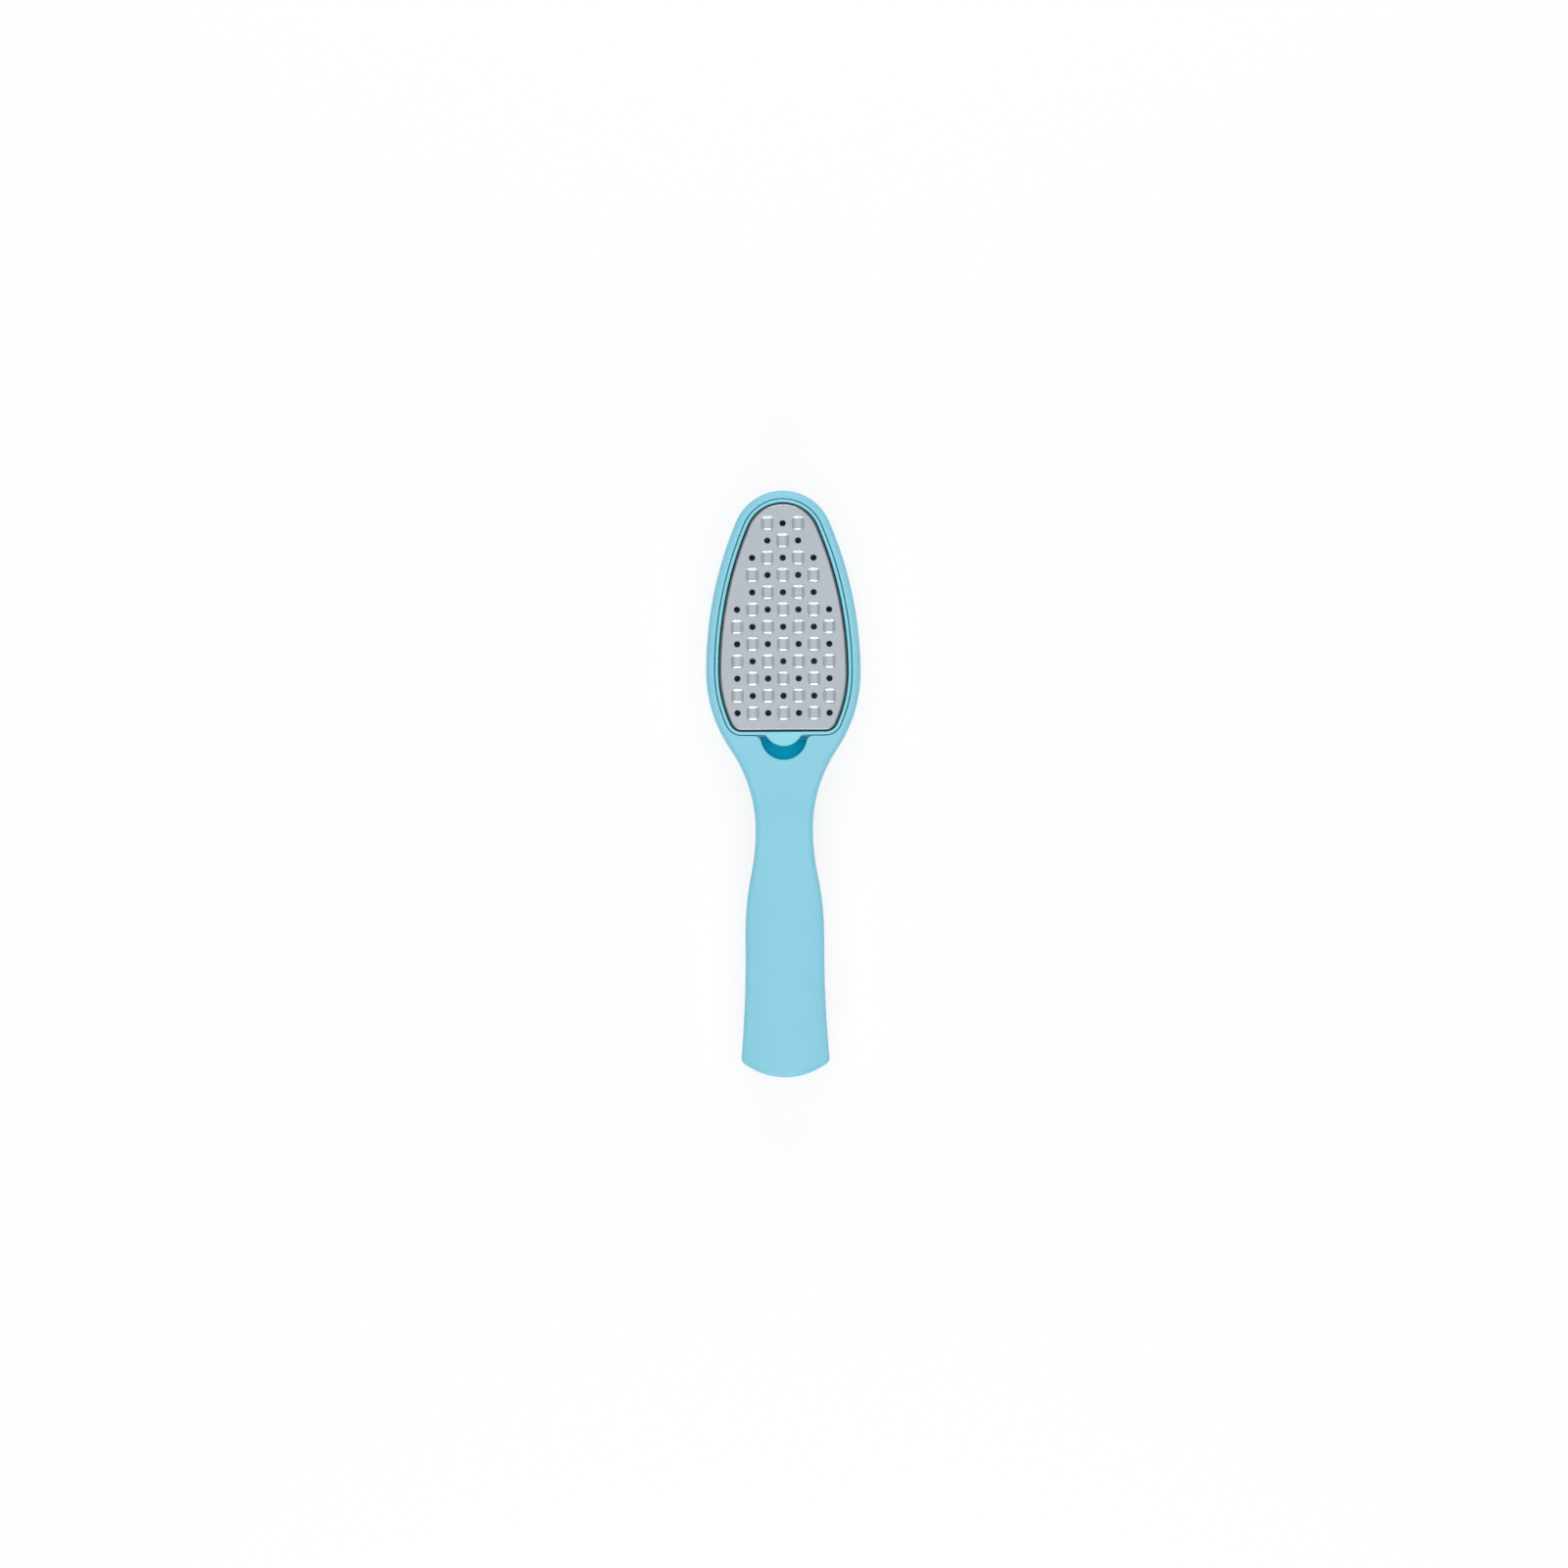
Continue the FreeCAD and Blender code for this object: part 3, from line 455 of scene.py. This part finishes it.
def half_width(samples, inset, y):
    """Half the outline's width at a place along the handle."""
    points = egg_points(samples, inset, 0)
    for first, last in zip(points, points[1:]):
        on_right = first.x >= 0 and last.x >= 0
        if on_right and (first.y - y) * (last.y - y) <= 0 and first.y != last.y:
            return first.x + (last.x - first.x) * (y - first.y) / (last.y - first.y)
    return 0.0


def quarter(count):
    """Sine and cosine along a quarter turn."""
    turns = [math.pi / 2 * step / count for step in range(count + 1)]
    return [(math.sin(turn), math.cos(turn)) for turn in turns]


def blank_rows(sizes, level):
    """Section of the sheet as insets and levels, up its outside and down its inside, and the top's index."""
    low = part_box("blade_plate")[0].z
    sheet, inset, roll = sizes.sheet, sizes.plate_inset, sizes.edge_round
    foot = sheet / 2
    under = roll - sheet
    outside = [(sizes.flange_inset, low), (sizes.flange_inset, low + sheet)]
    outside += [(inset - foot * (1 - s), low + sheet + foot * (1 - c)) for s, c in quarter(FOOT_STEPS)]
    outside += [(inset + roll * (1 - c), level - roll * (1 - s)) for s, c in quarter(ROLL_STEPS)]
    inside = [(inset + sheet + under * (1 - c), level - sheet - under * (1 - s))
              for s, c in reversed(quarter(UNDER_STEPS))]
    inside.append((inset + sheet, low))
    return outside + inside, len(outside) - 1


def plate_blank(sizes, samples, level):
    """The sheet before it is pierced: flat top, rolled edge, wall and hidden flange."""
    rows, top = blank_rows(sizes, level)
    mesh = bmesh.new()
    loops = [[mesh.verts.new(point) for point in egg_points(samples, *row)] for row in rows]
    for index, (first, last) in enumerate(zip(loops, loops[1:] + loops[:1])):
        if index != top:
            for step in range(len(first)):
                after = (step + 1) % len(first)
                mesh.faces.new((first[step], last[step], last[after], first[after]))
    mesh.faces.new(loops[top])
    mesh.faces.new(list(reversed(loops[top + 1])))
    bmesh.ops.recalc_face_normals(mesh, faces=mesh.faces)
    data = bpy.data.meshes.new("plate_blank")
    mesh.to_mesh(data)
    mesh.free()
    return new_object("plate_blank", data)


def tooth_places(sizes, samples, level):
    """Places of holes and straps: a checkerboard that fills the plate, as points that say which they are."""
    edge = egg_points(samples, sizes.plate_inset, 0)
    base_y = min(point.y for point in edge)
    columns = int(sizes.head_width / 2 / sizes.pitch_x)
    places = []
    row = 0
    y = edge[0].y - sizes.first_row
    while y - sizes.margin > base_y:
        room = half_width(samples, sizes.plate_inset, y) - sizes.margin
        for column in range(-columns, columns + 1):
            if abs(column) * sizes.pitch_x < room:
                places.append((column * sizes.pitch_x, y, (row + column) % 2 == 1))
        row += 1
        y -= sizes.pitch_y
    data = bpy.data.meshes.new("tooth_places")
    data.from_pydata([(x, y, level) for x, y, strap in places], [], [])
    mark = data.attributes.new("strap", "BOOLEAN", "POINT")
    mark.data.foreach_set("value", [strap for x, y, strap in places])
    return new_object("tooth_places", data)


TREE_LENGTHS = ("hole", "hole_lip", "strap_width", "strap_length", "strap_top", "strap_rise", "strap_round",
                "slit", "window", "sheet")


def add_sockets(tree):
    """Inputs and output of the tree that pierces the plate."""
    sockets = [("Places", "Geometry"), ("Blank", "Object"), ("Finish", "Material")]
    sockets += [(name, "Float") for name in TREE_LENGTHS]
    for name, kind in sockets:
        tree.interface.new_socket(name, in_out="INPUT", socket_type="NodeSocket" + kind)
    tree.interface.new_socket("Plate", in_out="OUTPUT", socket_type="NodeSocketGeometry")


def sum_of(tree, *parts):
    """Adds up (socket, factor) pairs."""
    total = 0.0
    for socket, factor in parts:
        total = add(tree, "ShaderNodeMath", {0: socket, 1: factor, 2: total},
                    operation="MULTIPLY_ADD").outputs[0]
    return total


def copies(tree, places, shape, here):
    """Copies of a shape at the holes or at the straps."""
    placed = add(tree, "GeometryNodeInstanceOnPoints", {"Points": places, "Selection": here,
                                                        "Instance": shape})
    return add(tree, "GeometryNodeRealizeInstances", {"Geometry": placed.outputs[0]}).outputs[0]


def hole_punch(tree, given):
    """Punch for a hole: a pin, and a cone that flares the hole's mouth."""
    lip = given["hole_lip"]
    radius = sum_of(tree, (given["hole"], 0.5))
    wide = sum_of(tree, (given["hole"], 0.5), (lip, 2.0))
    pin = add(tree, "GeometryNodeMeshCylinder", {"Vertices": HOLE_SIDES, "Radius": radius,
                                                 "Depth": sum_of(tree, (given["sheet"], PIN_LENGTH))})
    mouth = add(tree, "GeometryNodeMeshCone", {"Vertices": HOLE_SIDES, "Radius Bottom": radius,
                                               "Radius Top": wide, "Depth": sum_of(tree, (lip, 2.0))})
    sunk = add(tree, "ShaderNodeCombineXYZ", {"Z": sum_of(tree, (lip, -1.0))}).outputs[0]
    mouth = add(tree, "GeometryNodeTransform", {"Geometry": mouth.outputs[0], "Translation": sunk})
    return [pin.outputs[0], mouth.outputs[0]]


def strap_opening(tree, given):
    """Cutter for the opening under a strap."""
    wide = sum_of(tree, (given["strap_width"], 1.0), (given["slit"], 2.0))
    span = add(tree, "ShaderNodeCombineXYZ", {"X": wide, "Y": given["window"],
                                              "Z": sum_of(tree, (given["sheet"], OPENING_LENGTH))})
    return add(tree, "GeometryNodeMeshCube", {"Size": span.outputs[0]}).outputs[0]


def strap_levels(tree, given, place):
    """Levels of a strap's lower and upper face: an arch, and a flat top between ramps with bent edges."""
    # Each S-curve goes from 0 to 1 between two distances from the strap's middle
    spans = [("X", (given["strap_width"], BEND_START / 2), (given["strap_width"], BEND_END / 2)),
             ("Y", (given["strap_length"], 0.5), (given["strap_top"], 0.5)),
             ("Y", (given["window"], 0.5), (given["strap_top"], ARCH_TOP))]
    curves = []
    for axis, zero, one in spans:
        away = add(tree, "ShaderNodeMath", {0: place[axis]}, operation="ABSOLUTE").outputs[0]
        curve = add(tree, "ShaderNodeMapRange", {"Value": away, "From Min": sum_of(tree, zero),
                                                 "From Max": sum_of(tree, one)},
                    interpolation_type="SMOOTHERSTEP")
        curves.append(curve.outputs[0])
    bend, climb, arch = curves
    fall = add(tree, "ShaderNodeMath", {0: bend, 1: given["strap_round"]}, operation="MULTIPLY").outputs[0]
    crest = sum_of(tree, (given["strap_rise"], 1.0), (fall, -1.0))
    upper = add(tree, "ShaderNodeMath", {0: climb, 1: crest, 2: -STRAP_SINK}, operation="MULTIPLY_ADD")
    roof = sum_of(tree, (given["strap_rise"], 1.0), (given["sheet"], -0.5))
    lower = add(tree, "ShaderNodeMath", {0: arch, 1: roof, 2: sum_of(tree, (given["sheet"], -0.5))},
                operation="MULTIPLY_ADD")
    return lower.outputs[0], upper.outputs[0]


def levelled(tree, mesh, place, level, picked=True):
    """Moves the picked points to a level that depends on where they are."""
    spot = add(tree, "ShaderNodeCombineXYZ", {"X": place["X"], "Y": place["Y"], "Z": level}).outputs[0]
    return add(tree, "GeometryNodeSetPosition", {"Geometry": mesh, "Selection": picked,
                                                 "Position": spot}).outputs[0]


def strap_body(tree, given):
    """Strap: a closed slab between its lower and its upper face."""
    slab = add(tree, "GeometryNodeMeshGrid", {"Size X": given["strap_width"], "Size Y": given["strap_length"],
                                              "Vertices X": STRAP_COLUMNS,
                                              "Vertices Y": STRAP_ROWS}).outputs[0]
    position = add(tree, "GeometryNodeInputPosition").outputs[0]
    place = add(tree, "ShaderNodeSeparateXYZ", {0: position}).outputs
    lower, upper = strap_levels(tree, given, place)
    raised = add(tree, "GeometryNodeExtrudeMesh", {"Mesh": slab, "Offset Scale": FIRST_LIFT,
                                                   "Individual": False})
    body = levelled(tree, raised.outputs["Mesh"], place, lower)
    body = levelled(tree, body, place, upper, raised.outputs["Top"])
    sole = add(tree, "GeometryNodeFlipFaces", {0: levelled(tree, slab, place, lower)}).outputs[0]
    strap = add(tree, "GeometryNodeJoinGeometry", {0: [body, sole]}).outputs[0]
    return add(tree, "GeometryNodeMergeByDistance", {"Geometry": strap, "Distance": WELD_GAP}).outputs[0]


def shaded(tree, mesh):
    """Shading of the plate: flat faces stay flat, bends are smooth, and cut edges are crisp."""
    normal = add(tree, "GeometryNodeInputNormal").outputs[0]
    up = add(tree, "ShaderNodeSeparateXYZ", {0: normal}).outputs["Z"]
    upright = add(tree, "ShaderNodeMath", {0: up}, operation="ABSOLUTE").outputs[0]
    bent = add(tree, "FunctionNodeCompare", {0: upright, 1: FLAT_NORMAL}, operation="LESS_THAN").outputs[0]
    angle = add(tree, "GeometryNodeInputMeshEdgeAngle").outputs["Unsigned Angle"]
    soft = add(tree, "FunctionNodeCompare", {0: angle, 1: CRISP_ANGLE}, operation="LESS_THAN").outputs[0]
    for domain, smooth in (("FACE", bent), ("EDGE", soft)):
        mesh = add(tree, "GeometryNodeSetShadeSmooth", {0: mesh, "Shade Smooth": smooth},
                   domain=domain).outputs[0]
    return mesh


def pierced_plate_tree():
    """Tree that punches the holes, lances the openings and raises the straps on a blank."""
    tree = bpy.data.node_groups.new("Pierced plate", "GeometryNodeTree")
    add_sockets(tree)
    given = add(tree, "NodeGroupInput").outputs
    places = given["Places"]
    mark = add(tree, "GeometryNodeInputNamedAttribute", {"Name": "strap"}, data_type="BOOLEAN")
    strap_here = mark.outputs[0]
    hole_here = add(tree, "FunctionNodeBooleanMath", {0: strap_here}, operation="NOT").outputs[0]
    cuts = [copies(tree, places, shape, hole_here) for shape in hole_punch(tree, given)]
    cuts.append(copies(tree, places, strap_opening(tree, given), strap_here))
    blank = add(tree, "GeometryNodeObjectInfo", {"Object": given["Blank"]}).outputs["Geometry"]
    pierced = add(tree, "GeometryNodeMeshBoolean", {0: blank, 1: cuts}, operation="DIFFERENCE",
                  solver="EXACT").outputs[0]
    straps = copies(tree, places, strap_body(tree, given), strap_here)
    whole = add(tree, "GeometryNodeMeshBoolean", {1: [pierced, straps]}, operation="UNION",
                solver="EXACT").outputs[0]
    done = add(tree, "GeometryNodeSetMaterial", {"Geometry": shaded(tree, whole),
                                                 "Material": given["Finish"]}).outputs[0]
    add(tree, "NodeGroupOutput", {"Plate": done})
    return tree


def plain_mesh(item, name):
    """Turns an object with a node modifier into an object with a plain mesh."""
    bpy.context.view_layer.update()
    data = bpy.data.meshes.new_from_object(item.evaluated_get(bpy.context.evaluated_depsgraph_get()))
    bpy.data.objects.remove(item)
    data.name = name
    return new_object(name, data)


class FOOTFILE_OT_shells(bpy.types.Operator):
    """Finish both shells in satin light-blue ABS, with painted shade in the finger scoop"""
    bl_idname = "foot_file.shells"
    bl_label = "Shells"

    def execute(self, context):
        settings = context.scene.foot_file
        colours = settings.colours
        finish = moulded_abs("Moulded ABS, satin", tuple(colours.body), SATIN_ROUGHNESS)
        paint_scoop_shade(finish, settings.sizes, tuple(colours.scoop), tuple(colours.scoop_top_shade))
        for node in ("front_shell", "back_shell"):
            paint_node(node, finish)
        return {"FINISHED"}


class FOOTFILE_OT_screws(bpy.types.Operator):
    """Finish the screws in zinc"""
    bl_idname = "foot_file.screws"
    bl_label = "Screws"

    def execute(self, context):
        colours = context.scene.foot_file.colours
        paint_node("shell_screws", zinc_plate("Zinc-plated steel", tuple(colours.screw)))
        return {"FINISHED"}


class FOOTFILE_OT_holder(bpy.types.Operator):
    """Finish the blade frame and the ring under the plate"""
    bl_idname = "foot_file.holder"
    bl_label = "Blade frame and ring"

    def execute(self, context):
        colours = context.scene.foot_file.colours
        glossy = moulded_abs("Moulded ABS, glossy", tuple(colours.frame), GLOSSY_ROUGHNESS)
        plain = moulded_abs("Moulded ABS, plain", tuple(colours.retainer), PLAIN_ROUGHNESS)
        paint_node("blade_frame", glossy)
        paint_node("plate_retainer", plain)
        return {"FINISHED"}


class FOOTFILE_OT_plate(bpy.types.Operator):
    """Make the stamped cutting plate"""
    bl_idname = "foot_file.plate"
    bl_label = "Cutting plate"

    def execute(self, context):
        sizes = context.scene.foot_file.sizes
        colours = context.scene.foot_file.colours
        samples = egg_samples(sizes)
        level = front_level() + sizes.plate_proud
        blank = plate_blank(sizes, samples, level)
        places = tooth_places(sizes, samples, level)
        values = {name: getattr(sizes, name) for name in TREE_LENGTHS}
        values["Blank"] = blank
        # The plate's wall and flange get painted shade below the rolled edge
        values["Finish"] = rolled_stainless("Cold-rolled stainless", tuple(colours.steel),
                                            tuple(colours.steel_wall_shade), level - sizes.edge_round / 2,
                                            level - sizes.edge_round)
        modifier = places.modifiers.new("Pierced plate", "NODES")
        modifier.node_group = pierced_plate_tree()
        for socket in modifier.node_group.interface.items_tree:
            if socket.name in values:
                modifier[socket.identifier] = values[socket.name]
        plate = plain_mesh(places, "cutting_plate")
        bpy.data.objects.remove(blank)
        if not plate.data.polygons:
            raise RuntimeError("the cutting plate came out empty")
        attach(plate, "cartridge")
        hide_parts("blade_plate")
        return {"FINISHED"}


def white_table(name, colour, glow):
    """Matt white card; the camera sees part of it as plain white, so that only a faint shadow shows."""
    material, tree, shader = new_material(name)
    shader.inputs["Base Color"].default_value = colour + (1,)
    shader.inputs["Roughness"].default_value = TABLE_ROUGHNESS
    shader.inputs["Specular IOR Level"].default_value = 0.0
    seen = add(tree, "ShaderNodeLightPath").outputs["Is Camera Ray"]
    share = add(tree, "ShaderNodeMath", {0: seen, 1: glow}, operation="MULTIPLY").outputs[0]
    white = add(tree, "ShaderNodeEmission").outputs[0]
    both = add(tree, "ShaderNodeMixShader", {0: share, 1: shader.outputs["BSDF"], 2: white}).outputs[0]
    tree.links.new(both, tree.nodes["Material Output"].inputs["Surface"])
    return material


def lay_table(settings):
    """White table under the file."""
    reach = TABLE_REACH
    corners = [(-reach, -reach, 0), (reach, -reach, 0), (reach, reach, 0), (-reach, reach, 0)]
    data = bpy.data.meshes.new("table")
    data.from_pydata(corners, [], [(0, 1, 2, 3)])
    card = white_table("White table", tuple(settings.colours.table), settings.stage.table_glow)
    data.materials.append(card)
    table = new_object("table", data)


def soft_light(name, power, size, place):
    """Rectangular soft light that points at the origin and isn't seen itself."""
    data = bpy.data.lights.new(name, "AREA")
    data.shape = "RECTANGLE"
    data.size, data.size_y = size
    data.energy = power
    lamp = new_object(name, data)
    lamp.location = place
    lamp.rotation_euler = (-Vector(place)).to_track_quat("-Z", "Y").to_euler()
    lamp.visible_camera = False


def light_room(scene, stage):
    """Even light from all round, a soft light overhead and a low one past each end."""
    world = bpy.data.worlds.new("Soft room")
    world.use_nodes = True
    back = world.node_tree.nodes["Background"]
    back.inputs["Color"].default_value = (1, 1, 1, 1)
    back.inputs["Strength"].default_value = stage.world
    scene.world = world
    soft_light("overhead", stage.top, TOP_LIGHT_SIZE, (0, 0, TOP_LIGHT_HEIGHT))
    for name, way in (("past_tip", 1), ("past_butt", -1)):
        soft_light(name, stage.ends, END_LIGHT_SIZE, (0, way * END_LIGHT_REACH, END_LIGHT_HEIGHT))


def place_camera(scene, stage):
    """Camera straight above the file."""
    camera = bpy.data.cameras.new("camera")
    camera.lens = stage.lens
    eye = new_object("camera", camera)
    eye.location = (0, 0, front_level() + stage.camera_height)
    eye.rotation_euler = (0, 0, stage.roll)
    scene.camera = eye
    scene.view_settings.view_transform = "Standard"


class FOOTFILE_OT_stage(bpy.types.Operator):
    """Set the white table, the light and the camera"""
    bl_idname = "foot_file.stage"
    bl_label = "Table, light and camera"

    def execute(self, context):
        settings = context.scene.foot_file
        lay_table(settings)
        light_room(context.scene, settings.stage)
        place_camera(context.scene, settings.stage)
        return {"FINISHED"}


class FOOTFILE_PT_panel(bpy.types.Panel):
    """Steps that finish the foot file"""
    bl_label = "Foot file"
    bl_space_type = "VIEW_3D"
    bl_region_type = "UI"
    bl_category = "Foot file"

    def draw(self, context):
        for step in STEPS:
            self.layout.operator(step.bl_idname)
        for group in ("sizes", "colours", "stage"):
            settings = getattr(context.scene.foot_file, group)
            for name in settings.__annotations__:
                self.layout.prop(settings, name)


STEPS = (FOOTFILE_OT_shells, FOOTFILE_OT_screws, FOOTFILE_OT_holder, FOOTFILE_OT_plate, FOOTFILE_OT_stage)
CLASSES = (FootFileSizes, FootFileColours, FootFileStage, FootFileSettings) + STEPS + (FOOTFILE_PT_panel,)


def register():
    for item in CLASSES:
        bpy.utils.register_class(item)
    bpy.types.Scene.foot_file = PointerProperty(type=FootFileSettings)


def unregister():
    del bpy.types.Scene.foot_file
    for item in reversed(CLASSES):
        bpy.utils.unregister_class(item)


def main():
    register()
    bpy.ops.foot_file.shells()
    bpy.ops.foot_file.screws()
    bpy.ops.foot_file.holder()
    bpy.ops.foot_file.plate()
    bpy.ops.foot_file.stage()


if __name__ == "__main__":
    main()
